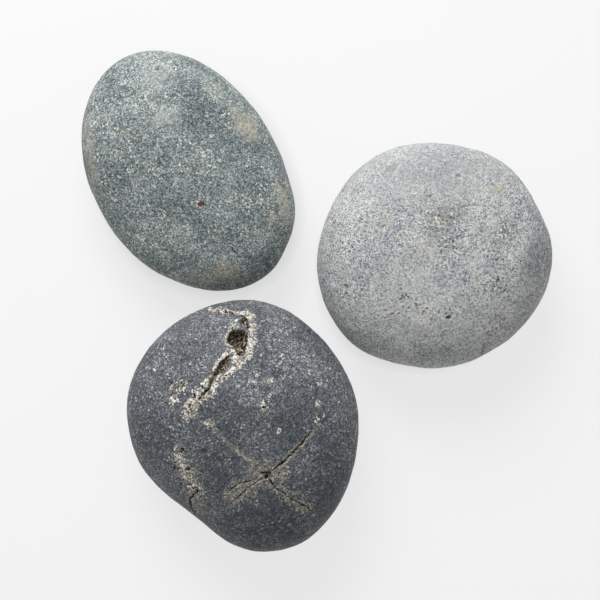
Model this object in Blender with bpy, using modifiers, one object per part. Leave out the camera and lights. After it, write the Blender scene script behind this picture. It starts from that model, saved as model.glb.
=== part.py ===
"""Three natural river rocks: a green oval stone, a pale round stone and a dark cracked stone.

Each stone is one solid piece of water-worn rock, standing on a small flat of its own underside.
The origin is on the resting plane, in the middle of the set. +Z is up, and +Y is the set's longer side.
"""

import math

import bmesh
import bpy
from mathutils import Vector

MM = 0.001

# Lengths are in millimetres and directions in degrees, counter-clockwise from +X.

# Cells along each edge of the cube that is blown up into a stone, before it is subdivided once.
CAGE_CELLS = 9
# Subdividing a round cage draws it in a little, so the cage is drawn larger by as much.
CAGE_GROWTH = 3.0 / (2.0 + math.cos(math.radians(90.0 / CAGE_CELLS)))

# The resting plane cuts this much off the underside of every stone, which leaves its flat foot.
FOOT_CUT = 0.3

# The block that makes that cut reaches this far past the stones, and is this thick.
CUTTER_MARGIN = 10.0

# Faces around and between the ends of the egg-shaped cutter that hollows out a pit.
PIT_SEGMENTS = 16
PIT_RINGS = 10

# The outline seen from above is an ellipse of half_length and half_width, turned by turn, and swells
# push it out or in: (azimuth, push, spread). knuckles do the same to the skin between the waist and the
# summit or the foot: (azimuth, elevation, push, spread).
# The widest section is at the height waist, and lean (azimuth, rise) tips it up to one side.
# A fullness above 2 makes a section squarer than an ellipse. summit is the top of the dome, measured
# from the middle of the stone, and pits are (azimuth, elevation, length, width, depth, turn).
STONES = {
    "green_oval_stone": {
        "middle": (-39.3, 39.3),
        "half_length": 38.8,
        "half_width": 29.0,
        "turn": 118.7,
        "swells": (
            (136, 2.1, 48),
            (268, -1.4, 18),
            (337, 1.8, 11),
            (311, 1.3, 9),
            (73, -1.0, 20),
            (34, -1.5, 33),
        ),
        "knuckles": (
            (115, 48, 0.8, 24),
            (325, 42, 0.9, 22),
            (215, 40, -0.7, 26),
            (40, -35, 1.0, 25),
            (200, -40, -0.8, 24),
        ),
        "thickness": 27.0,
        "waist": 12.6,
        "lean": (125, 1.2),
        "fullness_above": 2.3,
        "fullness_below": 2.2,
        "summit": (-2.5, 3.0),
        "pits": (),
        "colour": (0.235, 0.268, 0.256),
        "roughness": 0.85,
    },
    "pale_round_stone": {
        "middle": (35.4, 13.6),
        "half_length": 36.3,
        "half_width": 33.3,
        "turn": 36.0,
        "swells": (
            (355, 1.7, 48),
            (26, -2.0, 17),
            (50, -0.5, 27),
            (124, 2.3, 34),
            (254, -1.7, 16),
        ),
        "knuckles": (
            (28, 40, -1.1, 24),
            (140, 48, 1.0, 26),
            (265, 42, 0.8, 24),
            (80, -38, -1.0, 24),
            (230, -36, 1.2, 26),
        ),
        "thickness": 34.0,
        "waist": 15.5,
        "lean": (75, 1.5),
        "fullness_above": 2.25,
        "fullness_below": 2.2,
        "summit": (-3.0, 2.0),
        "pits": (),
        "colour": (0.372, 0.384, 0.374),
        "roughness": 0.88,
    },
    "dark_cracked_stone": {
        "middle": (-22.0, -37.5),
        "half_length": 37.7,
        "half_width": 33.6,
        "turn": 141.8,
        "swells": (
            (81, 3.7, 34),
            (236, -2.4, 27),
            (272, 3.4, 17),
            (297, 2.8, 15),
            (346, -2.4, 22),
        ),
        "knuckles": (
            (212, 28, -1.2, 18),
            (25, 46, 1.0, 24),
            (285, 40, 1.1, 24),
            (155, 44, 0.9, 22),
            (120, -38, -1.0, 24),
            (330, -36, 1.1, 26),
        ),
        "thickness": 36.0,
        "waist": 16.5,
        "lean": (60, 1.0),
        "fullness_above": 2.2,
        "fullness_below": 2.2,
        "summit": (2.0, -2.0),
        "pits": ((94, 45, 8.4, 6.2, 2.6, 70),),
        "colour": (0.139, 0.144, 0.148),
        "roughness": 0.8,
    },
}


def toward(azimuth, elevation):
    """The unit direction at an azimuth and an elevation in degrees."""
    around = math.radians(azimuth)
    up = math.radians(elevation)
    return Vector((math.cos(up) * math.cos(around), math.cos(up) * math.sin(around), math.sin(up)))


def hump(height, away, spread):
    """A smooth rise of that height, which dies away over the spread."""
    return height * math.exp(-((away / spread) ** 2))


def outline_radius(stone, azimuth):
    """How far the outline is from the stone's middle at an azimuth in degrees."""
    angle = math.radians(azimuth - stone["turn"])
    along = math.cos(angle) / stone["half_length"]
    across = math.sin(angle) / stone["half_width"]
    radius = 1.0 / math.hypot(along, across)
    for swell_azimuth, push, spread in stone["swells"]:
        away = (azimuth - swell_azimuth + 180.0) % 360.0 - 180.0
        radius += hump(push, away, spread)
    return radius


def knuckle_height(stone, direction):
    """How far the stone's knuckles push its skin out in one direction."""
    height = 0.0
    for azimuth, elevation, push, spread in stone["knuckles"]:
        away = math.degrees(direction.angle(toward(azimuth, elevation)))
        height += hump(push, away, spread)
    return height


def on_skin(stone, direction):
    """The point of the stone's skin in one direction from its middle, with z from the resting plane."""
    flat = math.hypot(direction.x, direction.y)
    azimuth = math.degrees(math.atan2(direction.y, direction.x))
    upper = direction.z > 0.0
    fullness = stone["fullness_above"] if upper else stone["fullness_below"]
    height = stone["thickness"] - stone["waist"] if upper else stone["waist"] + FOOT_CUT
    size = (flat**fullness + abs(direction.z) ** fullness) ** (-1.0 / fullness)
    out = flat * size
    up = direction.z * size

    skin = toward(azimuth, 0.0) * outline_radius(stone, azimuth) * out
    lean_azimuth, rise = stone["lean"]
    skin.z = height * up + rise * out * math.cos(math.radians(azimuth - lean_azimuth))
    skin += direction * knuckle_height(stone, direction)
    if upper:
        skin.xy += Vector(stone["summit"]) * up * up
    return skin + Vector((0.0, 0.0, stone["waist"]))


def collection_named(name):
    group = bpy.data.collections.new(name)
    bpy.context.scene.collection.children.link(group)
    return group


def object_from(mesh_builder, name, group):
    """A new object holding the mesh that a bmesh makes, in one collection."""
    mesh = bpy.data.meshes.new(name)
    mesh_builder.to_mesh(mesh)
    mesh_builder.free()
    made = bpy.data.objects.new(name, mesh)
    group.objects.link(made)
    return made


def rock_material(name, stone):
    material = bpy.data.materials.new(name)
    material.use_nodes = True
    shader = material.node_tree.nodes["Principled BSDF"]
    shader.inputs["Base Color"].default_value = (*stone["colour"], 1.0)
    shader.inputs["Roughness"].default_value = stone["roughness"]
    shader.inputs["Metallic"].default_value = 0.0
    material.diffuse_color = (*stone["colour"], 1.0)
    return material


def stone_cage(stone):
    """A divided cube blown up to the stone's form, in metres, with cells of about the same angle."""
    cage = bmesh.new()
    bmesh.ops.create_cube(cage, size=2.0)
    bmesh.ops.subdivide_edges(cage, edges=cage.edges[:], cuts=CAGE_CELLS - 1, use_grid_fill=True)
    centre = Vector((0.0, 0.0, stone["waist"]))
    for vertex in cage.verts:
        even = Vector(math.tan(share * math.pi / 4.0) for share in vertex.co)
        skin = on_skin(stone, even.normalized()) - centre
        vertex.co = (centre + skin * CAGE_GROWTH) * MM
    return cage


def pit_cutter(stone, pit, name, group):
    """An egg-shaped cutter, half sunk in the skin, whose lower half is the pit's hollow."""
    azimuth, elevation, length, width, depth, turn = pit
    direction = toward(azimuth, elevation)
    shape = bmesh.new()
    bmesh.ops.create_uvsphere(shape, u_segments=PIT_SEGMENTS, v_segments=PIT_RINGS, radius=1.0)
    bmesh.ops.scale(shape, verts=shape.verts, vec=Vector((length / 2.0, width / 2.0, depth)) * MM)
    cutter = object_from(shape, name, group)
    cutter.location = on_skin(stone, direction) * MM
    cutter.rotation_euler = (0.0, 0.0, math.radians(turn))
    return cutter


def ground_cutter(group):
    """A block with its top on the resting plane, which trims the underside of each stone flat."""
    reach = max(math.hypot(*stone["middle"]) + stone["half_length"] for stone in STONES.values())
    width = 2.0 * (reach + CUTTER_MARGIN)
    block = bmesh.new()
    bmesh.ops.create_cube(block, size=1.0)
    bmesh.ops.scale(block, verts=block.verts, vec=Vector((width, width, CUTTER_MARGIN)) * MM)
    bmesh.ops.translate(block, verts=block.verts, vec=Vector((0.0, 0.0, -CUTTER_MARGIN / 2.0)) * MM)
    return object_from(block, "resting_plane_cutter", group)


def cut(target, cutter):
    """Takes the cutter's shape out of the target, with a Boolean that stays on the target."""
    cutter.hide_render = True
    cutter.display_type = "WIRE"
    difference = target.modifiers.new("cut by " + cutter.name, "BOOLEAN")
    difference.operation = "DIFFERENCE"
    difference.solver = "EXACT"
    difference.object = cutter


def build_stone(name, stone, ground, stones, cutters):
    """One solid stone in its place, with its pits and its flat foot, and the cutters that go with it."""
    made = object_from(stone_cage(stone), name, stones)
    made.location = Vector((*stone["middle"], 0.0)) * MM
    made.data.materials.append(rock_material(name, stone))
    smooth = made.modifiers.new("worn smooth", "SUBSURF")
    smooth.levels = 1
    smooth.render_levels = 1
    for number, pit in enumerate(stone["pits"], 1):
        cutter = pit_cutter(stone, pit, f"{name}_pit_{number}_cutter", cutters)
        cutter.location += made.location
        cut(made, cutter)
    cut(made, ground)
    made.data.shade_smooth()
    return made


def box_middle(objects):
    """The middle, seen from above, of the box round the objects as they are with their modifiers."""
    graph = bpy.context.evaluated_depsgraph_get()
    corners = []
    for item in objects:
        shown = item.evaluated_get(graph)
        corners += [shown.matrix_world @ Vector(corner) for corner in shown.bound_box]
    low = Vector(min(corner[axis] for corner in corners) for axis in range(2))
    high = Vector(max(corner[axis] for corner in corners) for axis in range(2))
    return (low + high) / 2.0


def main():
    for item in list(bpy.data.objects):
        bpy.data.objects.remove(item)
    stones = collection_named("river_rocks")
    cutters = collection_named("cutters")
    ground = ground_cutter(cutters)
    made = [build_stone(name, stone, ground, stones, cutters) for name, stone in STONES.items()]

    # Everything hangs from one empty, which carries the middle of the set to the origin.
    bpy.context.view_layer.update()
    middle = box_middle(made)
    origin = bpy.data.objects.new("set_origin", None)
    stones.objects.link(origin)
    for item in [*stones.objects, *cutters.objects]:
        if item is not origin:
            item.parent = origin
    origin.location = (-middle.x, -middle.y, 0.0)
    bpy.context.view_layer.update()


main()
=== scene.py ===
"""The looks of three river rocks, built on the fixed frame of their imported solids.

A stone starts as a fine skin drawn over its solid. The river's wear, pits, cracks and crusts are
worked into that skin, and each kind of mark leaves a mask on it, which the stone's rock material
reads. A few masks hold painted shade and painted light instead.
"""

import math
import random

import bmesh
import bpy
import numpy as np
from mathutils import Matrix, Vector, noise
from mathutils.bvhtree import BVHTree


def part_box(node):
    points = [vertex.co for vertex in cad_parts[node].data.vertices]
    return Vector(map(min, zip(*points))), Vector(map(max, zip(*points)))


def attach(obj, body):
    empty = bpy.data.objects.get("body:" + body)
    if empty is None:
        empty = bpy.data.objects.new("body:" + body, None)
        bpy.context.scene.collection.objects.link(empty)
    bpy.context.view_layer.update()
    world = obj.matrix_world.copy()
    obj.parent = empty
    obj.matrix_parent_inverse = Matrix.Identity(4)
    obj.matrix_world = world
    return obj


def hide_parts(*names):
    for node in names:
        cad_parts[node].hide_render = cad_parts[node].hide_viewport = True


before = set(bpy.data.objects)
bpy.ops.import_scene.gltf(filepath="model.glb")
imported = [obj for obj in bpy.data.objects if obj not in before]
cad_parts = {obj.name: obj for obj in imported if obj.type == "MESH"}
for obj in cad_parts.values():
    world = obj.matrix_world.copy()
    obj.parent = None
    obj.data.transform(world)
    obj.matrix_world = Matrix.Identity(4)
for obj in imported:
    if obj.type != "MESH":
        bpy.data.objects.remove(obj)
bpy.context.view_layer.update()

MM = 0.001

# The noise that makes edges ragged starts from the clock unless it is given a seed.
RAGS_SEED = 1795019964
noise.seed_set(RAGS_SEED)

# ------------------------------------------------------------------------------------------------
# The skin of a stone
# ------------------------------------------------------------------------------------------------

# Rounds of averaging that take the solid's flat facets out of a skin.
FACET_SMOOTHING = 40

# Cells whose normals point up by more than this are on the upper side, which alone is refined.
UPPER_SIDE = 0.05

# Marks fade out down the flanks, where the normals' upward parts are between these.
FLANK_FADE = (0.0, 0.25)

# The noise on the floors of pits and the tops of crusts: its size, octaves and shift.
CRUMBS = (0.75, 3, 5.0)

# Noise with octaves: how each octave weakens, and how many times finer it is than the one before.
OCTAVE_FADE = 1.0
OCTAVE_FINENESS = 2.0

# A shift of the noise is this much of it in Y, which keeps shifted patterns apart.
SHIFT_SKEW = 0.7

# Ragged edges have finer waves on their broad ones: how many times finer, and their share.
FINER_RAGS = 3.0
FINER_RAG_SHARE = 0.6


def eased(values, low, high):
    """0 below low, 1 above high, and a smooth step between them."""
    share = np.clip((values - low) / (high - low), 0.0, 1.0)
    return share * share * (3.0 - 2.0 * share)


def averaged(values, edges, rounds):
    """Values at the corners of a mesh, each drawn towards the mean of its neighbours."""
    here = edges.ravel()
    there = edges[:, ::-1].ravel()
    neighbours = np.bincount(here, minlength=len(values))
    for _ in range(rounds):
        mean = np.bincount(here, weights=values[there], minlength=len(values)) / neighbours
        values = (values + mean) / 2.0
    return values


def vertex_array(mesh):
    flat = np.empty(len(mesh.vertices) * 3, np.float32)
    mesh.vertices.foreach_get("co", flat)
    return flat.reshape(-1, 3).astype(float)


def edge_array(mesh):
    flat = np.empty(len(mesh.edges) * 2, np.int32)
    mesh.edges.foreach_get("vertices", flat)
    return flat.reshape(-1, 2)


def normal_array(mesh):
    flat = np.empty(len(mesh.vertices) * 3, np.float32)
    mesh.vertex_normals.foreach_get("vector", flat)
    return flat.reshape(-1, 3).astype(float)


def put_vertices(mesh, points):
    mesh.vertices.foreach_set("co", points.astype(np.float32).ravel())
    mesh.update()


class Skin:
    """The fine surface of one stone while marks are worked into it. Its lengths are in millimetres.

    A spot is a place seen from above: the shares of the stone's box across it (X) and along it (Y).
    """

    def __init__(self, node, cells):
        self.node = node
        low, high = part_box(node)
        self.low = np.array(low) / MM
        self.size = (np.array(high) - np.array(low)) / MM
        self.mesh = self.wrapped(cells)
        self.masks = {}

    def wrapped(self, cells):
        """A divided cube blown up against the inside of the solid, and then freed of its facets."""
        ball = bmesh.new()
        bmesh.ops.create_cube(ball, size=2.0)
        bmesh.ops.subdivide_edges(ball, edges=ball.edges[:], cuts=cells - 1, use_grid_fill=True)
        mesh = bpy.data.meshes.new(self.node + "_skin")
        ball.to_mesh(mesh)
        ball.free()

        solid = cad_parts[self.node].data
        faces = [tuple(face.vertices) for face in solid.polygons]
        tree = BVHTree.FromPolygons([vertex.co for vertex in solid.vertices], faces)
        middle = Vector(self.low + self.size / 2.0) * MM
        half = self.size / 2.0 * MM
        rays = np.tan(vertex_array(mesh) * math.pi / 4.0)
        rays = rays / np.linalg.norm(rays, axis=1, keepdims=True) * half
        reach = np.linalg.norm(rays, axis=1)
        found = np.array([tree.ray_cast(middle, Vector(ray))[3] for ray in rays])
        share = averaged(found / reach, edge_array(mesh), FACET_SMOOTHING)
        points = np.array(middle) + rays * share[:, None]
        points[:, 2] = np.maximum(points[:, 2], 0.0)
        put_vertices(mesh, points / MM)
        return mesh

    def at(self, spot):
        """The plan position of a spot."""
        return self.low[:2] + np.array(spot) * self.size[:2]

    def moved(self, spot, across, along):
        """The spot that is so many millimetres from another, in X and in Y."""
        return (spot[0] + across / self.size[0], spot[1] + along / self.size[1])

    def refine(self, paths, reach):
        """Halves the cells of the upper side that lie within reach of any of the paths."""
        points = vertex_array(self.mesh)
        near = np.full(len(points), np.inf)
        for path in paths:
            near = np.minimum(near, distance_to(points[:, :2], [self.at(spot) for spot in path])[0])
        chosen = (near < reach) & (normal_array(self.mesh)[:, 2] > UPPER_SIDE)
        fine = bmesh.new()
        fine.from_mesh(self.mesh)
        fine.verts.ensure_lookup_table()
        edges = [edge for edge in fine.edges if all(chosen[vertex.index] for vertex in edge.verts)]
        bmesh.ops.subdivide_edges(fine, edges=edges, cuts=1, use_grid_fill=True)
        fine.to_mesh(self.mesh)
        fine.free()

    def settle(self):
        """Reads the finished cells, so that marks can be worked in."""
        self.points = vertex_array(self.mesh)
        self.normals = normal_array(self.mesh)
        self.top = eased(self.normals[:, 2], *FLANK_FADE)
        self.sunk = np.zeros(len(self.points))
        self.raised = np.zeros(len(self.points))
        self.drift = {}
        self.crumbs = self.grain(*CRUMBS)

    def grain(self, size, octaves=1, shift=0.0):
        """Smooth noise over the skin, from about -1 to 1, with humps of about the given size."""
        offset = Vector((shift, shift * SHIFT_SKEW, -shift))
        scaled = [Vector(point) + offset for point in self.points / size]
        if octaves == 1:
            return np.array([noise.noise(point) for point in scaled])
        steps = (OCTAVE_FADE, OCTAVE_FINENESS, octaves)
        return np.array([noise.fractal(point, *steps) for point in scaled])

    def ragged(self, amount, size):
        """The skin's plan positions pushed about at random, for marks with ragged edges."""
        if size not in self.drift:
            scaled = self.points / size
            broad = [noise.noise_vector(Vector(point))[:2] for point in scaled]
            fine = [noise.noise_vector(Vector(point))[:2] for point in scaled * FINER_RAGS]
            self.drift[size] = np.array(broad) + FINER_RAG_SHARE * np.array(fine)
        return self.points[:, :2] + self.drift[size] * amount

    def mark(self, name, share):
        """Adds to one of the stone's masks, which hold the strongest of what is put into them."""
        before = self.masks.get(name, np.zeros(len(self.points)))
        self.masks[name] = np.maximum(before, share * self.top)

    def finished(self):
        """Moves the skin by what was worked in, stores its masks and gives the mesh in metres."""
        move = (self.raised - self.sunk)[:, None] * self.normals
        points = self.points + move
        points[:, 2] = np.maximum(points[:, 2], 0.0)
        put_vertices(self.mesh, points * MM)
        for name, share in self.masks.items():
            layer = self.mesh.attributes.new(name, "FLOAT", "POINT")
            layer.data.foreach_set("value", np.clip(share, 0.0, 1.0).astype(np.float32))
        self.mesh.shade_smooth()
        return self.mesh


def distance_to(plan, path):
    """How far plan positions are from a path of points, and what share of it lies behind them."""
    path = [np.array(point, float) for point in path]
    if len(path) == 1:
        return np.linalg.norm(plan - path[0], axis=1), np.full(len(plan), 0.5)
    spans = [np.linalg.norm(end - start) for start, end in zip(path, path[1:])]
    nearest = np.full(len(plan), np.inf)
    along = np.zeros(len(plan))
    passed = 0.0
    for start, end, span in zip(path, path[1:], spans):
        step = (end - start) / span
        run = np.clip((plan - start) @ step, 0.0, span)
        away = np.linalg.norm(plan - start - run[:, None] * step, axis=1)
        closer = away < nearest
        nearest = np.where(closer, away, nearest)
        along = np.where(closer, (passed + run) / sum(spans), along)
        passed += span
    return nearest, along


def oval_distance(plan, middle, length, width, turn):
    """Distance from the middle of a turned oval, in units of its own half size."""
    angle = math.radians(turn)
    off = plan - middle
    along = off[:, 0] * math.cos(angle) + off[:, 1] * math.sin(angle)
    across = off[:, 1] * math.cos(angle) - off[:, 0] * math.sin(angle)
    return np.hypot(along / (length / 2.0), across / (width / 2.0))


# ------------------------------------------------------------------------------------------------
# Marks that a river rock has
# ------------------------------------------------------------------------------------------------


# Sizes of the waves in the ragged edges of pits, of cracks and bands, and of soft patches.
PIT_RAGS = 1.4
BAND_RAGS = 1.7
PATCH_RAGS = 3.1

# A pit's wall and its dirt end between these distances from its middle, in half sizes of the pit.
PIT_WALL = (0.45, 1.05)
PIT_DIRT = (0.75, 1.1)
PIT_FLOOR_UNEVENNESS = 0.45

# A crack is open and shut by turns: the size of a stretch, and the noise that shuts and opens it.
CRACK_STRETCH = 2.6
CRACK_TURNS = (-0.3, 0.2)

# How much of its depth a shut stretch keeps, and of its width its narrowest part.
SHUT_DEPTH = 0.75
LEAST_WIDTH = 0.35

# The dirt in a crack ends between these shares of its half width, and its lips of its width.
CRACK_DIRT = (0.55, 1.25)
LIP_FADE = (0.2, 0.9)

# A band fades between these shares of its width, and a patch between these half sizes of it.
BAND_FADE = (0.15, 0.8)
PATCH_FADE = (0.3, 1.25)

# How high a crust stands on average, as a share of the height given for it.
CRUST_LEVEL = 0.5


def wear(skin, *waves):
    """Uneven wear, from broad lumps down to fine pecks, each (size, height)."""
    for size, height in waves:
        skin.raised += height * skin.grain(size, octaves=3, shift=size)


def ridge(skin, path, width, height):
    """A blunt raised edge along a path."""
    away, along = distance_to(skin.points[:, :2], [skin.at(spot) for spot in path])
    skin.raised += height * np.exp(-((away / width) ** 2)) * np.sin(along * math.pi) * skin.top


def hollow(skin, spot, length, width, depth, turn=0.0, ragged=0.35, dirt=1.0):
    """An open pit with steep ragged walls and an uneven floor, dark inside."""
    away = oval_distance(skin.ragged(ragged, PIT_RAGS), skin.at(spot), length, width, turn)
    bowl = 1.0 - eased(away, *PIT_WALL)
    floor = 1.0 + PIT_FLOOR_UNEVENNESS * skin.crumbs
    skin.sunk = np.maximum(skin.sunk, depth * bowl * floor * skin.top)
    skin.mark("hollow", dirt * (1.0 - eased(away, *PIT_DIRT)))


def crack(skin, path, width, depth, ends=0.1, ragged=0.3, dirt=1.0, lips=0.0):
    """A narrow crack along a path, more open in some stretches than in others, with pale lips."""
    away, along = distance_to(skin.ragged(ragged, BAND_RAGS), [skin.at(spot) for spot in path])
    opened = eased(along, 0.0, ends) * (1.0 - eased(along, 1.0 - ends, 1.0))
    turns = eased(skin.grain(CRACK_STRETCH, shift=width), *CRACK_TURNS)
    reach = opened * (SHUT_DEPTH + (1.0 - SHUT_DEPTH) * turns)
    half = width / 2.0 * (LEAST_WIDTH + (1.0 - LEAST_WIDTH) * reach)
    wall = np.exp(-((away / half) ** 2)) * reach
    skin.sunk = np.maximum(skin.sunk, depth * wall * skin.top)
    skin.mark("hollow", dirt * reach * (1.0 - eased(away / half, *CRACK_DIRT)))
    if lips:
        beside = np.abs(away - width) / width
        skin.mark("vein", lips * opened * (1.0 - eased(beside, *LIP_FADE)))


def spread(skin, name, path, width, strength=1.0, ragged=0.7, ends=0.0, height=0.0):
    """A band of mineral along a path, fading at its edges, which can stand up a little."""
    away, along = distance_to(skin.ragged(ragged, BAND_RAGS), [skin.at(spot) for spot in path])
    share = strength * (1.0 - eased(away / width, *BAND_FADE))
    if ends:
        share = share * eased(along, 0.0, ends) * (1.0 - eased(along, 1.0 - ends, 1.0))
    skin.mark(name, share)
    skin.raised += height * share * (CRUST_LEVEL + skin.crumbs) * skin.top


def patch(skin, name, spot, length, width, turn=0.0, strength=1.0, ragged=1.2):
    """A soft patch of colour with uneven edges."""
    away = oval_distance(skin.ragged(ragged, PATCH_RAGS), skin.at(spot), length, width, turn)
    skin.mark(name, strength * (1.0 - eased(away, *PATCH_FADE)))


def patches(skin, name, places, ragged=1.2):
    """Several patches of one colour, each (spot, length, width, turn, strength)."""
    for spot, length, width, turn, strength in places:
        patch(skin, name, spot, length, width, turn, strength, ragged)


# ------------------------------------------------------------------------------------------------
# Writing rock materials
# ------------------------------------------------------------------------------------------------


def tint(red, green, blue):
    """A linear colour from its display values of 0 to 255."""

    def linear(shown):
        share = shown / 255.0
        return share / 12.92 if share <= 0.04045 else ((share + 0.055) / 1.055) ** 2.4

    return (linear(red), linear(green), linear(blue), 1.0)


def grey(level):
    """A linear grey."""
    return (level, level, level, 1.0)


class Wire:
    """One output in a surface's node tree. Arithmetic on wires adds the Math nodes it needs."""

    def __init__(self, surface, socket):
        self.surface = surface
        self.socket = socket

    def worked(self, operation, *values):
        inputs = dict(enumerate(values))
        return self.surface.node("ShaderNodeMath", "Value", {"operation": operation}, inputs)

    def __add__(self, other):
        return self.worked("ADD", self, other)

    def __sub__(self, other):
        return self.worked("SUBTRACT", self, other)

    def __rsub__(self, other):
        return self.worked("SUBTRACT", other, self)

    def __mul__(self, other):
        return self.worked("MULTIPLY", self, other)

    __radd__ = __add__
    __rmul__ = __mul__

    def step(self, low, high):
        """0 below low and 1 above high, with a smooth step between them."""
        settings = {"interpolation_type": "SMOOTHSTEP"}
        inputs = {"Value": self, "From Min": low, "From Max": high}
        return self.surface.node("ShaderNodeMapRange", "Result", settings, inputs)


def set_stops(ramp, stops):
    """Gives a colour ramp its stops, each (position, colour)."""
    while len(ramp.elements) < len(stops):
        ramp.elements.new(1.0)
    for element, (position, colour) in zip(ramp.elements, stops):
        element.position = position
        element.color = colour


class Surface:
    """A material while its nodes are laid out. Patterns are sized in millimetres."""

    # A Mix node has sockets of the same name for each type of data. These are those for colours.
    MIX_SHARE, MIX_LOW, MIX_HIGH, MIX_COLOUR = 0, 6, 7, 2

    # The noise that pushes grains about: how fine it is and how far it pushes, in grain sizes.
    SHAKE_FINENESS = 0.9
    SHAKE_REACH = 0.6

    # A mask broken into grains: the gain on it, and the level at which a grain belongs to it.
    CRUMB_GAIN = 1.25
    CRUMB_EDGE = (0.50, 0.64)

    # A dot's soft edge starts at this share of its radius, and picked dots differ by this much.
    DOT_CORE = 0.5
    DOT_PICK_EDGE = 0.02

    # How much of a stain, or of a painted shade or light, is there where its dusting is thinnest.
    THINNEST_DUST = 0.3

    def __init__(self, name):
        self.material = bpy.data.materials.new(name)
        self.material.use_nodes = True
        self.tree = self.material.node_tree
        self.shader = self.tree.nodes["Principled BSDF"]
        place = self.node("ShaderNodeTexCoord", "Object")
        self.place = self.vector("SCALE", place, {"Scale": 1.0 / MM})

    def node(self, kind, output, settings=None, inputs=None):
        """Adds a node, sets it, feeds its sockets, and gives one of its outputs."""
        added = self.tree.nodes.new(kind)
        for name, value in (settings or {}).items():
            if name == "stops":
                set_stops(added.color_ramp, value)
            else:
                setattr(added, name, value)
        self.feed(added, inputs or {})
        return Wire(self, added.outputs[output])

    def feed(self, fed, inputs):
        """Feeds the sockets of a node with values or wires."""
        for name, value in inputs.items():
            if isinstance(value, Wire):
                self.tree.links.new(value.socket, fed.inputs[name])
            else:
                fed.inputs[name].default_value = value

    def vector(self, operation, start, inputs):
        settings = {"operation": operation}
        return self.node("ShaderNodeVectorMath", "Vector", settings, {0: start, **inputs})

    def mixed(self, share, low, high, blend="MIX"):
        """The colour low where share is 0, high where it is 1."""
        settings = {"data_type": "RGBA", "blend_type": blend}
        inputs = {self.MIX_SHARE: share, self.MIX_LOW: low, self.MIX_HIGH: high}
        return self.node("ShaderNodeMix", self.MIX_COLOUR, settings, inputs)

    def mottle(self, size, detail=3.0, roughness=0.55):
        """Cloudy noise of about 0 to 1, with clouds of the given size."""
        inputs = {"Vector": self.place, "Scale": 1.0 / size}
        inputs |= {"Detail": detail, "Roughness": roughness}
        return self.node("ShaderNodeTexNoise", "Fac", None, inputs)

    def shaken(self, size):
        """The place on the rock pushed about, so that grains of that size aren't tidy cells."""
        inputs = {"Vector": self.place, "Scale": self.SHAKE_FINENESS / size, "Detail": 1.0}
        push = self.node("ShaderNodeTexNoise", "Color", None, inputs)
        scaled = self.vector("SCALE", push, {"Scale": self.SHAKE_REACH * size})
        return self.vector("ADD", self.place, {1: scaled})

    def crystals(self, size, number="Red"):
        """A random number for each grain. Red, Green and Blue give separate numbers."""
        inputs = {"Vector": self.shaken(size), "Scale": 1.0 / size}
        colour = self.node("ShaderNodeTexVoronoi", "Color", None, inputs)
        return self.node("ShaderNodeSeparateColor", number, None, {"Color": colour})

    def ramp(self, value, *stops):
        return self.node("ShaderNodeValToRGB", "Color", {"stops": stops}, {"Fac": value})

    def mask(self, name):
        return self.node("ShaderNodeAttribute", "Fac", {"attribute_name": name})

    def crumbled(self, name, size, spill):
        """One of the skin's masks in whole grains of that size, which spill over its edge."""
        grains = (self.crystals(size, "Blue") - 0.5) * spill
        return (self.mask(name) * self.CRUMB_GAIN + grains).step(*self.CRUMB_EDGE)

    def dots(self, spacing, radius, chance):
        """Round spots of up to that radius, one in some of the cells of that spacing."""
        inputs = {"Vector": self.shaken(radius), "Scale": 1.0 / spacing}
        away = self.node("ShaderNodeTexVoronoi", "Distance", None, inputs) * spacing
        cell = self.node("ShaderNodeTexVoronoi", "Color", None, inputs)
        picked = self.node("ShaderNodeSeparateColor", "Red", None, {"Color": cell})
        edge = 1.0 - chance
        kept = picked.step(edge, edge + self.DOT_PICK_EDGE)
        return (1.0 - away.step(self.DOT_CORE * radius, radius)) * kept

    def stained(self, colour, dusting, *stains):
        """The colour under dusty stains, each (mask, strength, colour of the stain). Some of the
        masks it is given hold painted shade and painted light instead of stains.
        """
        for name, strength, stain in stains:
            dust = dusting * (1.0 - self.THINNEST_DUST) + self.THINNEST_DUST
            share = self.mask(name) * dust * strength
            colour = self.mixed(share, colour, stain)
        return colour

    def finished(self, inputs):
        """Feeds the shader and gives the material."""
        self.feed(self.shader, inputs)
        return self.material


# How much a dull rock shines, where 0.5 is common plastic.
ROCK_SHINE = 0.35

# Patches of warmer or cooler grains are this many times the size of the grit.
CAST_SIZE = 1.4

# How much grit and grains stand up in the relief finer than the mesh.
GRIT_RELIEF = 0.3
GRAIN_RELIEF = 0.5


def rock_finish(rock, colour, roughness, height, bump_strength, bump_depth):
    """A dull rock with relief finer than its mesh, bump_depth millimetres deep."""
    inputs = {"Strength": bump_strength, "Distance": bump_depth * MM, "Height": height}
    look = {
        "Base Color": colour,
        "Roughness": roughness,
        "Normal": rock.node("ShaderNodeBump", "Normal", None, inputs),
        "Specular IOR Level": ROCK_SHINE,
    }
    return rock.finished(look)


def grained(rock, stops, grit, grains, mottles, warmth):
    """A rock's ground colour, from dark grains to light ones in clouds, and its grains' relief.

    grit, grains and each of the mottles are (size, weight). A warmth of 0.1 makes some grains 10%
    redder and others 10% bluer than the colour that stops gives their tone.
    """
    small = rock.crystals(grit[0])
    large = rock.crystals(grains[0])
    tone = (small - 0.5) * grit[1] + (large - 0.5) * grains[1] + 0.5
    for size, weight in mottles:
        tone += (rock.mottle(size) - 0.5) * weight
    warm = (1.0 + warmth, 1.0, 1.0 - warmth, 1.0)
    cool = (1.0 - warmth, 1.0, 1.0 + warmth, 1.0)
    cast = rock.mixed(rock.crystals(grit[0] * CAST_SIZE, "Green"), warm, cool)
    colour = rock.mixed(1.0, rock.ramp(tone, *stops), cast, "MULTIPLY")
    return colour, small * GRIT_RELIEF + large * GRAIN_RELIEF


# ------------------------------------------------------------------------------------------------
# The green oval stone
# ------------------------------------------------------------------------------------------------


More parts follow.
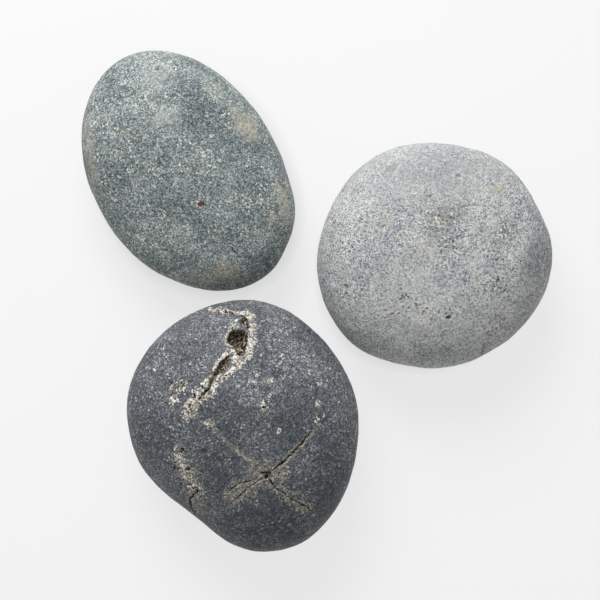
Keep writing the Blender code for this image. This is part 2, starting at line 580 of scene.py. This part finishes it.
def green_skin():
    """A smooth flattened pebble, dusted and stained, with one small red chip."""
    skin = Skin("green_oval_stone", cells=104)
    chip = (0.569, 0.354)
    streak = [(0.706, 0.181), (0.713, 0.171), (0.720, 0.159)]
    skin.refine([[chip], [streak[0], streak[-1]]], reach=2.5)
    skin.settle()
    wear(skin, (24.0, 0.35), (5.0, 0.07), (1.6, 0.035))
    tan = (
        ((0.775, 0.675), 12.0, 7.0, -50, 1.0),
        ((0.728, 0.728), 6.0, 4.0, -40, 0.5),
        ((0.940, 0.385), 11.0, 4.2, 105, 1.0),
        ((0.896, 0.301), 3.8, 3.2, 40, 1.0),
        ((0.676, 0.086), 11.0, 6.0, 15, 0.75),
        ((0.560, 0.052), 13.0, 4.5, -20, 0.65),
        ((0.722, 0.050), 10.0, 3.6, 25, 0.45),
        ((0.223, 0.643), 2.4, 2.0, 0, 0.7),
        # A lighter tan band down the left rim.
        ((0.055, 0.560), 26.0, 4.0, 97, 0.55),
    )
    patches(skin, "tan", tan)
    clouds = (
        ((0.385, 0.880), 12.0, 9.0, 0, 0.8),
        ((0.415, 0.706), 10.0, 6.0, 20, 0.9),
        ((0.337, 0.837), 9.0, 6.0, 10, 0.5),
        ((0.631, 0.812), 12.0, 6.0, -50, 0.6),
        ((0.539, 0.884), 10.0, 5.0, -20, 0.5),
    )
    patches(skin, "cloud", clouds, ragged=2.0)
    patch(skin, "olive", (0.619, 0.846), length=6.5, width=4.5, turn=-30, strength=0.6)
    for spot in ((0.223, 0.642), (0.244, 0.247), (0.309, 0.250), (0.190, 0.303)):
        patch(skin, "rust", spot, length=1.9, width=1.4, turn=30, strength=0.8, ragged=0.5)
    patch(skin, "chip", chip, length=2.9, width=1.5, turn=12, ragged=0.35)
    spread(skin, "chip", streak, width=0.6, strength=0.8, ragged=0.2)
    hollow(skin, (0.370, 0.907), length=1.0, width=0.9, depth=0.3, dirt=0.8)
    return skin


def green_rock():
    """Fine blue-green rock, peppered with cream flecks."""
    rock = Surface("green_rock")
    stops = (
        (0.00, tint(54, 64, 68)),
        (0.28, tint(93, 105, 108)),
        (0.50, tint(117, 128, 129)),
        (0.72, tint(143, 152, 151)),
        (1.00, tint(200, 203, 197)),
    )
    mottles = ((1.3, 0.26), (3.8, 0.30), (16.0, 0.8))
    colour, relief = grained(
        rock, stops, grit=(0.31, 0.88), grains=(0.60, 0.12), mottles=mottles, warmth=0.09
    )
    crowd = rock.mottle(5.0, 2.0).step(0.44, 0.60)
    flecks = rock.crystals(0.46).step(0.86, 0.92) * (crowd * 0.85 + 0.10)
    colour = rock.mixed(flecks * 0.88, colour, tint(220, 217, 204))
    specks = rock.crystals(0.55).step(0.91, 0.96)
    colour = rock.mixed(specks * 0.5, colour, tint(54, 62, 65))
    colour = rock.stained(
        colour,
        rock.mottle(1.2, 3.0, 0.65).step(0.38, 0.66),
        ("cloud", 0.70, tint(183, 186, 182)),
        ("tan", 0.80, tint(190, 182, 161)),
        ("olive", 0.60, tint(146, 148, 118)),
        ("rust", 0.80, tint(104, 82, 58)),
    )
    colour = rock.mixed(rock.mask("chip").step(0.35, 0.6), colour, tint(92, 50, 48))
    colour = rock.mixed(rock.mask("hollow"), colour, tint(60, 52, 44))
    height = relief + rock.mottle(0.5, 3.0, 0.7)
    roughness = rock.mottle(2.0) * 0.2 + 0.62
    return rock_finish(rock, colour, roughness, height, bump_strength=0.6, bump_depth=0.10)


# ------------------------------------------------------------------------------------------------
# The pale round stone
# ------------------------------------------------------------------------------------------------

# Pocks in its face: (spot, length, width, depth, turn, dirt).
POCKS = (
    ((0.537, 0.230), 1.7, 1.3, 0.60, 10, 1.0),
    ((0.462, 0.751), 1.1, 0.8, 0.30, 60, 0.8),
    ((0.579, 0.843), 1.7, 1.2, 0.25, 0, 0.4),
    ((0.352, 0.313), 2.2, 0.8, 0.35, 120, 0.7),
    ((0.406, 0.280), 1.6, 0.8, 0.30, 150, 0.7),
    ((0.196, 0.451), 1.8, 1.5, 0.20, 0, 0.35),
    ((0.114, 0.361), 1.8, 1.1, 0.30, 80, 0.5),
    ((0.740, 0.382), 2.0, 0.7, 0.30, 60, 0.7),
    ((0.772, 0.340), 2.0, 0.7, 0.30, 50, 0.6),
    ((0.305, 0.875), 4.4, 2.0, 0.35, 22, 0.30),
)


# Parts of its face that are rougher than the rest: (spot, length, width, strength).
ROUGH_SPOTS = (
    ((0.525, 0.648), 8.0, 4.0, 0.9),
    ((0.525, 0.541), 6.0, 4.0, 1.0),
    ((0.741, 0.369), 5.0, 5.0, 1.0),
    ((0.368, 0.315), 5.0, 4.0, 1.0),
    ((0.307, 0.240), 4.0, 2.5, 1.0),
    ((0.122, 0.532), 6.0, 4.0, 0.9),
    ((0.122, 0.337), 5.0, 8.0, 0.9),
    ((0.734, 0.174), 5.0, 3.0, 1.0),
    ((0.772, 0.596), 6.0, 4.0, 0.9),
    ((0.490, 0.250), 18.0, 5.0, 0.6),
)

# Pecks in each rough part, how far they scatter in sizes of the part, and their seed.
PECKS = 7
PECK_SCATTER = 0.5
PECK_SEED = 5

# The range of a peck's length and of its width, its depth, and its dirt in a part of full strength.
PECK_LENGTHS = (0.6, 1.1)
PECK_WIDTHS = (0.4, 0.6)
PECK_DEPTH = 0.2
PECK_DIRT = 0.75

# The chalky crumb beside a peck: the same measures, and how far it is from the peck in X and Y.
CRUMB_LENGTHS = (0.6, 1.0)
CRUMB_WIDTH = 0.5
CRUMB_STRENGTH = 0.8
CRUMB_ASIDE = 0.8
CRUMB_BEYOND = 0.6


def pecked(skin, parts):
    """Small sharp pits scattered over the rough parts, with a chalky crumb beside each pit."""
    draw = random.Random(PECK_SEED)
    for spot, length, width, strength in parts:
        for _ in range(PECKS):
            across = draw.gauss(0.0, PECK_SCATTER) * length
            along = draw.gauss(0.0, PECK_SCATTER) * width
            peck = skin.moved(spot, across, along)
            turn = draw.uniform(0.0, 180.0)
            hollow(
                skin,
                peck,
                length=draw.uniform(*PECK_LENGTHS),
                width=draw.uniform(*PECK_WIDTHS),
                depth=PECK_DEPTH,
                turn=turn,
                dirt=strength * PECK_DIRT,
            )
            patch(
                skin,
                "chalk",
                skin.moved(peck, draw.uniform(-CRUMB_ASIDE, CRUMB_ASIDE), CRUMB_BEYOND),
                length=draw.uniform(*CRUMB_LENGTHS),
                width=CRUMB_WIDTH,
                turn=turn,
                strength=strength * CRUMB_STRENGTH,
                ragged=0.3,
            )


def pale_skin():
    """A round dome of coarser rock, pocked, with a ridged shoulder on one side, darkened by its
    slope and by painted shade, and with painted shade and painted light elsewhere on the dome.
    """
    skin = Skin("pale_round_stone", cells=104)
    split = [(0.699, 0.120), (0.695, 0.085), (0.700, 0.050)]
    skin.refine([[spot] for spot, *_ in POCKS + ROUGH_SPOTS], reach=3.0)
    skin.refine([[(0.699, 0.120), (0.695, 0.050)]], reach=2.5)
    skin.settle()
    wear(skin, (26.0, 0.45), (5.5, 0.11), (1.7, 0.06))
    ridge(skin, [(0.914, 0.655), (0.877, 0.520), (0.851, 0.404)], width=3.5, height=0.7)
    for spot, length, width, depth, turn, dirt in POCKS:
        hollow(skin, spot, length, width, depth, turn, dirt=dirt)
    crack(skin, split, width=0.9, depth=0.5, dirt=0.4)
    # Darker bluish mottles of the rock near the middle (the first, second and fifth patches), and
    # painted shade on the right shoulder, the lower right and the bottom rim, where the dome turns
    # from the lamp, and over the top, to tone down its light.
    shade = (
        ((0.540, 0.660), 15.0, 9.0, 20, 0.85),
        ((0.520, 0.570), 8.0, 9.0, 0, 0.60),
        ((0.940, 0.500), 15.0, 26.0, -10, 0.95),
        ((0.480, 0.900), 56.0, 16.0, 5, 0.20),
        ((0.780, 0.590), 11.0, 9.0, 0, 0.55),
        ((0.880, 0.270), 9.0, 15.0, -35, 0.50),
        ((0.560, 0.060), 34.0, 6.0, 0, 0.45),
    )
    patches(skin, "shade", shade, ragged=2.0)
    # The first patch is painted shade that darkens the top of the dome, where the lamp falls
    # strongest; the second is a cooler tint in the rock.
    cool = (
        ((0.470, 0.860), 60.0, 26.0, 5, 1.0),
        ((0.300, 0.440), 22.0, 18.0, -30, 0.4),
    )
    patches(skin, "cool", cool, ragged=3.0)
    tan = (
        ((0.800, 0.120), 30.0, 9.0, 42, 0.9),
        ((0.035, 0.520), 16.0, 5.0, 80, 0.6),
        ((0.480, 0.560), 9.0, 16.0, 0, 0.4),
    )
    patches(skin, "tan", tan, ragged=2.0)
    # Painted light: the lower middle of the dome is lightened against the shade it gets as it turns
    # from the lamp.
    patch(skin, "haze", (0.440, 0.240), length=44.0, width=26.0, turn=-10, strength=0.8, ragged=3.0)
    for spot, length, width, strength in ROUGH_SPOTS:
        patch(skin, "rough", spot, length, width, strength=strength, ragged=1.5)
    pecked(skin, ROUGH_SPOTS)
    for spot, length, width, strength in (
        ((0.742, 0.785), 5.5, 2.2, 0.8),
        ((0.446, 0.816), 2.2, 1.6, 0.7),
        ((0.316, 0.232), 3.2, 2.0, 0.7),
        ((0.911, 0.305), 1.7, 1.5, 1.0),
        ((0.722, 0.176), 2.6, 1.2, 0.7),
        ((0.513, 0.650), 5.0, 6.0, 0.3),
    ):
        patch(skin, "yellow", spot, length, width, turn=10, strength=strength, ragged=0.7)
    return skin


def pale_rock():
    """Light grey rock with cloudy blue-grey grains."""
    rock = Surface("pale_rock")
    stops = (
        (0.00, tint(90, 99, 110)),
        (0.26, tint(142, 149, 155)),
        (0.50, tint(176, 179, 179)),
        (0.74, tint(196, 197, 193)),
        (1.00, tint(222, 221, 217)),
    )
    mottles = ((1.3, 0.34), (3.6, 0.46), (14.0, 0.6))
    colour, relief = grained(
        rock, stops, grit=(0.31, 1.10), grains=(0.60, 0.14), mottles=mottles, warmth=0.06
    )
    crowd = rock.mottle(4.0, 2.0).step(0.40, 0.62)
    specks = rock.crystals(0.55).step(0.87, 0.94) * (crowd * 0.7 + 0.2)
    colour = rock.mixed(specks * 0.72, colour, tint(84, 93, 108))
    flecks = rock.crystals(0.55).step(0.90, 0.95)
    colour = rock.mixed(flecks * 0.5, colour, tint(230, 228, 222))
    smoky = rock.mottle(5.0, 4.0, 0.7).step(0.52, 0.70)
    colour = rock.mixed(smoky * 0.38, colour, tint(132, 141, 154))
    dusty = rock.mottle(9.0, 3.0).step(0.52, 0.72)
    colour = rock.mixed(dusty * 0.25, colour, tint(186, 180, 166))
    colour = rock.stained(
        colour,
        rock.mottle(1.1, 3.0, 0.65).step(0.36, 0.66),
        # Painted shade on the top of the dome, and a cooler tint on its lower left.
        ("cool", 0.78, tint(153, 157, 158)),
        # Painted light on the lower middle of the dome.
        ("haze", 0.50, tint(202, 204, 204)),
        ("tan", 0.45, tint(150, 144, 132)),
        # Painted shade on the sides turned from the lamp and on the top, and darker mottles of the
        # rock.
        ("shade", 0.80, tint(102, 107, 113)),
        ("yellow", 0.70, tint(190, 176, 138)),
    )
    rough = rock.mask("rough").step(0.10, 0.55) + crowd * 0.25
    chalk = rock.dots(0.95, 0.50, 0.55) * rough
    colour = rock.mixed(chalk * 0.7, colour, tint(236, 232, 219))
    pin_holes = rock.dots(1.10, 0.46, 0.55) * rough
    colour = rock.mixed(pin_holes * 0.7, colour, tint(64, 66, 68))
    colour = rock.mixed(rock.mask("chalk").step(0.3, 0.6) * 0.8, colour, tint(238, 234, 222))
    colour = rock.mixed(rock.mask("hollow") * 0.85, colour, tint(66, 63, 58))
    height = relief + rock.mottle(0.55, 3.0, 0.7) * 1.2 - pin_holes * 2.0
    roughness = rock.mottle(2.0) * 0.2 + 0.68
    return rock_finish(rock, colour, roughness, height, bump_strength=0.7, bump_depth=0.12)


# ------------------------------------------------------------------------------------------------
# The dark cracked stone
# ------------------------------------------------------------------------------------------------

# A seam of open crusted pits comes over the top of the stone and down its left side.
SEAM_HEAD = [
    (0.359, 0.963), (0.398, 0.960), (0.437, 0.955), (0.468, 0.950), (0.504, 0.949), (0.530, 0.945),
]
SEAM_RIGHT_BANK = [
    (0.525, 0.945), (0.543, 0.920), (0.550, 0.889), (0.548, 0.851), (0.542, 0.813),
    (0.528, 0.780), (0.512, 0.758), (0.480, 0.739), (0.448, 0.710), (0.405, 0.685),
]
SEAM_LEFT_BANK = [
    (0.481, 0.919), (0.440, 0.864), (0.446, 0.826), (0.470, 0.798), (0.433, 0.785), (0.398, 0.750),
    (0.375, 0.707), (0.345, 0.677),
]
SEAM_TAIL = [(0.372, 0.657), (0.325, 0.635), (0.292, 0.595), (0.278, 0.564)]
EYE_PIT_RIM = [(0.215, 0.657), (0.222, 0.672), (0.246, 0.681), (0.264, 0.671), (0.270, 0.657)]
SEAM_SLIT = [(0.410, 0.730), (0.394, 0.709), (0.379, 0.685), (0.369, 0.661), (0.352, 0.645)]

# Its open pits: (spot, length, width, depth, turn).
PITS = (
    ((0.484, 0.851), 6.4, 5.2, 2.7, 10),
    ((0.493, 0.830), 5.0, 4.4, 2.6, 0),
    ((0.499, 0.812), 3.2, 4.4, 2.2, 0),
    ((0.512, 0.915), 2.7, 3.2, 1.4, 0),
    ((0.527, 0.896), 0.8, 1.4, 0.7, 30),
    ((0.426, 0.747), 6.8, 2.9, 1.5, 51),
    ((0.356, 0.648), 1.9, 1.1, 1.0, 40),
    ((0.343, 0.639), 1.1, 1.4, 0.9, 60),
    ((0.331, 0.620), 1.0, 1.8, 0.9, -25),
    ((0.309, 0.631), 1.0, 1.9, 0.9, 0),
    ((0.343, 0.667), 0.9, 1.1, 0.5, 0),
    ((0.290, 0.592), 0.9, 1.4, 0.8, 10),
    ((0.401, 0.957), 1.0, 0.9, 0.6, 0),
    ((0.433, 0.953), 1.3, 1.0, 0.7, 0),
    ((0.449, 0.951), 0.8, 0.9, 0.6, 0),
    ((0.464, 0.948), 0.9, 1.0, 0.6, 0),
    ((0.605, 0.338), 3.4, 1.3, 1.4, 0),
    ((0.611, 0.323), 1.6, 2.2, 1.2, -20),
    ((0.257, 0.418), 1.2, 1.9, 0.9, 10),
    ((0.277, 0.347), 1.4, 1.2, 0.7, 30),
    ((0.238, 0.347), 1.1, 1.1, 0.6, 0),
    ((0.220, 0.348), 0.9, 1.0, 0.5, 0),
    ((0.279, 0.286), 1.1, 0.8, 0.5, 0),
    ((0.314, 0.272), 1.1, 0.8, 0.5, 0),
    ((0.298, 0.269), 0.8, 0.7, 0.5, 0),
    ((0.249, 0.287), 0.8, 0.8, 0.4, 0),
    ((0.599, 0.589), 1.4, 1.2, 0.6, 0),
    ((0.664, 0.335), 0.8, 0.8, 0.4, 0),
)

# Two cracks cross in a small pit on the front half. Their four arms start at the crossing.
CROSSING = (0.608, 0.336)
RIGHT_ARM = [
    (0.624, 0.340), (0.666, 0.368), (0.707, 0.401), (0.738, 0.429), (0.770, 0.463), (0.812, 0.505),
]
FRONT_ARM = [
    (0.613, 0.318), (0.645, 0.282), (0.676, 0.260), (0.707, 0.235), (0.749, 0.214), (0.805, 0.180),
]
BACK_ARM = [
    (0.600, 0.345), (0.582, 0.358), (0.551, 0.387), (0.509, 0.406), (0.478, 0.430), (0.447, 0.454),
    (0.416, 0.478), (0.390, 0.507), (0.369, 0.535),
]
LEFT_ARM = [(0.606, 0.324), (0.566, 0.300), (0.519, 0.265), (0.477, 0.230), (0.445, 0.204)]
LEFT_VEIN = [(0.545, 0.387), (0.551, 0.340), (0.548, 0.315)]
LEFT_CREASE = [(0.556, 0.318), (0.546, 0.308), (0.509, 0.298), (0.477, 0.284), (0.445, 0.259)]

# The crack that runs over the rim where the outline dips in.
RIM_CRACK = [
    (0.326, 0.270), (0.302, 0.244), (0.283, 0.225), (0.279, 0.202), (0.288, 0.177), (0.305, 0.153),
]


def dark_skin():
    """A stout pebble with a seam of open crusted pits and a set of crossing cracks."""
    skin = Skin("dark_cracked_stone", cells=86)
    seam = [SEAM_HEAD, SEAM_RIGHT_BANK, SEAM_LEFT_BANK, SEAM_TAIL]
    cracks = [RIGHT_ARM, FRONT_ARM, BACK_ARM, LEFT_ARM, LEFT_CREASE, RIM_CRACK]
    pits = [[spot] for spot, *_ in PITS]
    skin.refine(seam + cracks + pits, reach=2.6)
    skin.refine(seam + cracks + pits, reach=1.4)
    sharpest = [SEAM_SLIT, RIGHT_ARM, FRONT_ARM, LEFT_ARM, LEFT_CREASE, RIM_CRACK]
    skin.refine(sharpest, reach=0.55)
    skin.settle()
    wear(skin, (25.0, 0.45), (6.0, 0.10), (1.6, 0.04))

    spread(skin, "crust", SEAM_HEAD, 1.1, 0.85, ragged=0.4, height=0.12)
    spread(skin, "crust", SEAM_RIGHT_BANK, 2.2, 0.78, height=0.35)
    spread(skin, "crust", SEAM_LEFT_BANK, 1.2, 0.78, height=0.20)
    spread(skin, "crust", SEAM_TAIL, 4.2, 0.76, height=0.35)
    spread(skin, "crust", EYE_PIT_RIM, 1.8, 0.60, ragged=0.4)
    crusts = (
        ((0.482, 0.777), 1.9, 4.2, -25, 1.60),
        ((0.535, 0.937), 3.6, 2.4, -20, 0.90),
        ((0.219, 0.619), 3.8, 3.0, 0, 0.85),
        ((0.235, 0.650), 3.2, 2.6, 0, 0.60),
        ((0.278, 0.555), 2.6, 4.0, 0, 0.70),
        ((0.258, 0.357), 4.2, 2.4, -10, 1.10),
        ((0.235, 0.385), 4.0, 4.0, 0, 0.60),
        ((0.228, 0.427), 2.6, 3.4, 0, 0.50),
        ((0.272, 0.322), 5.0, 5.0, -30, 0.60),
        ((0.300, 0.280), 4.4, 3.6, 0, 0.60),
        ((0.599, 0.589), 3.4, 3.4, 0, 0.80),
        ((0.568, 0.548), 1.8, 1.5, 0, 0.85),
        ((0.621, 0.687), 2.6, 2.0, 0, 0.75),
        ((0.830, 0.598), 2.2, 2.8, 0, 0.80),
        ((0.822, 0.540), 1.4, 3.4, 10, 0.75),
        ((0.663, 0.500), 2.1, 1.7, 0, 0.70),
        ((0.515, 0.523), 1.6, 1.4, 0, 0.75),
        ((0.683, 0.330), 2.2, 1.8, 0, 0.70),
        ((0.133, 0.737), 1.5, 1.5, 0, 0.60),
        ((0.083, 0.704), 1.5, 1.2, 0, 0.50),
        ((0.365, 0.525), 1.8, 2.4, 20, 0.80),
    )
    patches(skin, "crust", crusts, ragged=0.8)

    spread(skin, "vein", RIGHT_ARM, 2.0, 0.60, ends=0.05)
    spread(skin, "vein", FRONT_ARM, 3.6, 0.66, ends=0.05)
    spread(skin, "vein", BACK_ARM, 1.5, 0.85)
    spread(skin, "vein", LEFT_ARM, 3.4, 0.74, ends=0.05)
    spread(skin, "vein", LEFT_VEIN, 1.6, 0.65)
    spread(skin, "vein", LEFT_CREASE, 2.6, 0.75)
    veins = (
        (CROSSING, 12.0, 8.0, 30, 0.75),
        ((0.525, 0.278), 10.0, 6.0, 30, 0.75),
        ((0.464, 0.257), 6.0, 5.5, 0, 0.52),
        ((0.675, 0.327), 5.5, 5.0, 0, 0.70),
        ((0.736, 0.241), 9.0, 4.6, -30, 0.50),
        ((0.246, 0.436), 4.0, 5.0, 10, 0.60),
        ((0.265, 0.345), 9.0, 9.0, -40, 0.62),
        ((0.297, 0.290), 7.0, 8.0, 10, 0.80),
        ((0.316, 0.240), 6.0, 8.0, 10, 0.85),
        ((0.318, 0.190), 5.0, 7.0, 10, 0.75),
    )
    patches(skin, "vein", veins, ragged=1.4)

    for spot, length, width, depth, turn in PITS:
        hollow(skin, spot, length, width, depth, turn)
    hollow(skin, (0.347, 0.416), length=3.0, width=2.0, depth=0.6, turn=-10, dirt=0.42)
    hollow(skin, (0.306, 0.426), length=2.0, width=1.5, depth=0.3, dirt=0.25)
    for path, width, depth, dirt, lips in (
        (SEAM_SLIT, 0.9, 1.3, 1.0, 0.0),
        (EYE_PIT_RIM, 0.6, 0.4, 0.8, 0.0),
        (RIGHT_ARM, 0.62, 1.0, 1.0, 0.8),
        (FRONT_ARM, 0.60, 0.8, 0.9, 0.7),
        (BACK_ARM, 0.35, 0.15, 0.3, 0.7),
        (LEFT_ARM, 0.45, 0.4, 0.7, 0.8),
        (LEFT_CREASE, 0.55, 0.5, 0.8, 0.6),
        (RIM_CRACK, 0.60, 1.1, 1.0, 0.5),
    ):
        crack(skin, path, width, depth, dirt=dirt, lips=lips)

    # Darker blotches of the rock in the middle, and painted shade over the lower part and the left
    # and right flanks, which turn from the lamp.
    dusk = (
        ((0.390, 0.345), 20.0, 20.0, 0, 1.0),
        ((0.620, 0.130), 54.0, 34.0, 20, 1.0),
        ((0.860, 0.300), 18.0, 36.0, -15, 0.9),
        ((0.540, 0.460), 44.0, 22.0, 0, 0.6),
        ((0.120, 0.450), 18.0, 30.0, 0, 0.7),
    )
    patches(skin, "dusk", dusk, ragged=3.0)
    # Two small darker blotches of the rock.
    for spot in ((0.310, 0.520), (0.350, 0.418)):
        patch(skin, "dusk", spot, length=5.0, width=4.0)
    browns = (
        ((0.520, 0.575), 7.0, 4.5, 20, 0.7),
        ((0.487, 0.561), 6.0, 4.0, 0, 0.6),
    )
    patches(skin, "brown", browns, ragged=1.5)
    patch(skin, "rust", (0.507, 0.528), length=1.0, width=0.8, ragged=0.3)
    return skin


def dark_rock():
    """Dark blue-grey rock with pale flecks, and a whitish crumbling crust along its seams."""
    rock = Surface("dark_rock")
    stops = (
        (0.00, tint(38, 42, 46)),
        (0.26, tint(66, 71, 77)),
        (0.50, tint(88, 92, 98)),
        (0.74, tint(113, 117, 121)),
        (1.00, tint(184, 185, 184)),
    )
    mottles = ((1.2, 0.28), (2.6, 0.38), (15.0, 0.6))
    colour, relief = grained(
        rock, stops, grit=(0.31, 0.78), grains=(0.60, 0.12), mottles=mottles, warmth=0.06
    )
    crowd = rock.mottle(4.5, 2.0).step(0.44, 0.62)
    flecks = rock.crystals(0.52).step(0.92, 0.95) * (crowd * 0.9 + 0.12)
    colour = rock.mixed(flecks * 0.78, colour, tint(206, 207, 205))
    colour = rock.stained(
        colour,
        rock.mottle(1.4, 3.0, 0.65).step(0.30, 0.70),
        # Darker blotches of the rock, and painted shade over the lower part and the flanks.
        ("dusk", 0.82, tint(48, 52, 57)),
        ("brown", 0.60, tint(62, 58, 54)),
    )

    vein_colour = rock.ramp(
        rock.crystals(0.42),
        (0.00, tint(78, 74, 67)),
        (0.45, tint(122, 117, 106)),
        (0.80, tint(166, 161, 149)),
        (1.00, tint(222, 219, 208)),
    )
    colour = rock.mixed(rock.crumbled("vein", 0.50, 1.0) * 0.66, colour, vein_colour)
    crust_colour = rock.ramp(
        rock.crystals(0.46),
        (0.00, tint(84, 72, 58)),
        (0.22, tint(146, 134, 114)),
        (0.50, tint(192, 187, 177)),
        (0.78, tint(224, 221, 213)),
        (1.00, tint(252, 250, 245)),
    )
    crust = rock.crumbled("crust", 0.50, 1.0)
    colour = rock.mixed(crust * 0.92, colour, crust_colour)
    colour = rock.mixed(rock.mask("rust").step(0.3, 0.7) * 0.8, colour, tint(150, 88, 70))
    dirt_colour = rock.ramp(
        rock.crystals(0.40, "Green"),
        (0.00, tint(24, 20, 17)),
        (0.48, tint(56, 47, 38)),
        (0.74, tint(112, 96, 76)),
        (0.90, tint(184, 170, 148)),
        (1.00, tint(220, 210, 194)),
    )
    colour = rock.mixed(rock.mask("hollow").step(0.25, 0.65) * 0.96, colour, dirt_colour)
    height = relief + rock.mottle(0.5, 3.0, 0.7) + crust * rock.mottle(0.6, 3.0, 0.75) * 3.0
    roughness = rock.mottle(2.0) * 0.2 + crust * 0.15 + 0.58
    return rock_finish(rock, colour, roughness, height, bump_strength=0.6, bump_depth=0.10)


# ------------------------------------------------------------------------------------------------
# Putting the stones in the scene
# ------------------------------------------------------------------------------------------------


def place_stone(skin, rock, name):
    """Shows a finished skin in place of its solid."""
    mesh = skin.finished()
    mesh.materials.append(rock)
    stone = bpy.data.objects.new(name, mesh)
    bpy.context.scene.collection.objects.link(stone)
    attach(stone, "root")
    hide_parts(skin.node)


place_stone(green_skin(), green_rock(), "green_oval_rock")
place_stone(pale_skin(), pale_rock(), "pale_round_rock")
place_stone(dark_skin(), dark_rock(), "dark_cracked_rock")


# ------------------------------------------------------------------------------------------------
# The table, the light and the camera
# ------------------------------------------------------------------------------------------------


# Metres across the table, which reaches far enough to meet the horizon in low views.
TABLE_WIDTH = 30.0

# Millimetres between the table and the flat feet of the stones, so that their faces don't coincide.
TABLE_DROP = 0.05

# Millimetres from a stone within which the table glows less, which paints a contact shadow round
# each stone.
GLOW_REACH = 9.0

# Millimetres from the origin to the point that the camera looks down on, and up to the camera.
CAMERA_OVER = (-5.1, 0.14)
CAMERA_HEIGHT = 524.3


def white_table():
    """A wide matte white sheet of glass just under the stones."""
    bpy.ops.mesh.primitive_plane_add(size=TABLE_WIDTH, location=(0.0, 0.0, -TABLE_DROP * MM))
    table = bpy.context.object
    table.name = "white_table"
    table.data.materials.append(white_glass())


def white_glass():
    """Frosted glass that glows evenly, but less where a stone stands close: a painted contact
    shadow.
    """
    glass = Surface("white_glass")
    inputs = {"Distance": GLOW_REACH * MM}
    openness = glass.node("ShaderNodeAmbientOcclusion", "AO", {"samples": 8}, inputs)
    # Painted contact shadow: the glow falls almost to dark where a stone hems the table in.
    glow_with_painted_shadow = glass.ramp(openness, (0.0, grey(0.08)), (0.35, grey(0.72)), (1.0, grey(1.0)))
    look = {
        "Base Color": grey(0.19),
        "Roughness": 0.9,
        "Specular IOR Level": 0.1,
        "Emission Color": glow_with_painted_shadow,
        "Emission Strength": 0.72,
    }
    return glass.finished(look)


def softbox(name, place, width, height, power):
    """A softbox aimed at the middle of the stones, in metres and watts."""
    lamp = bpy.data.lights.new(name, "AREA")
    lamp.shape = "RECTANGLE"
    lamp.size = width
    lamp.size_y = height
    lamp.energy = power
    box = bpy.data.objects.new(name, lamp)
    box.location = place
    box.rotation_euler = (-Vector(place)).to_track_quat("-Z", "Y").to_euler()
    box.visible_camera = False
    bpy.context.scene.collection.objects.link(box)


def studio_air(strength):
    """The even light of a white room."""
    room = bpy.data.worlds.new("white_room")
    room.use_nodes = True
    background = room.node_tree.nodes["Background"]
    background.inputs["Color"].default_value = grey(1.0)
    background.inputs["Strength"].default_value = strength
    bpy.context.scene.world = room


def overhead_camera():
    """Looks straight down on the stones, with a long lens."""
    middle = Vector((*CAMERA_OVER, 0.0)) * MM
    lens = bpy.data.cameras.new("camera")
    lens.sensor_width = 36.0
    lens.lens = 100.0
    lens.clip_start = 0.01
    lens.clip_end = 50.0
    camera = bpy.data.objects.new("camera", lens)
    camera.location = middle + Vector((0.0, 0.0, CAMERA_HEIGHT * MM))
    bpy.context.scene.collection.objects.link(camera)
    bpy.context.scene.camera = camera


white_table()
softbox("key_softbox", place=(-0.14, 0.50, 0.42), width=0.45, height=0.35, power=4.7)
studio_air(strength=0.42)
overhead_camera()
bpy.context.scene.view_settings.view_transform = "Standard"
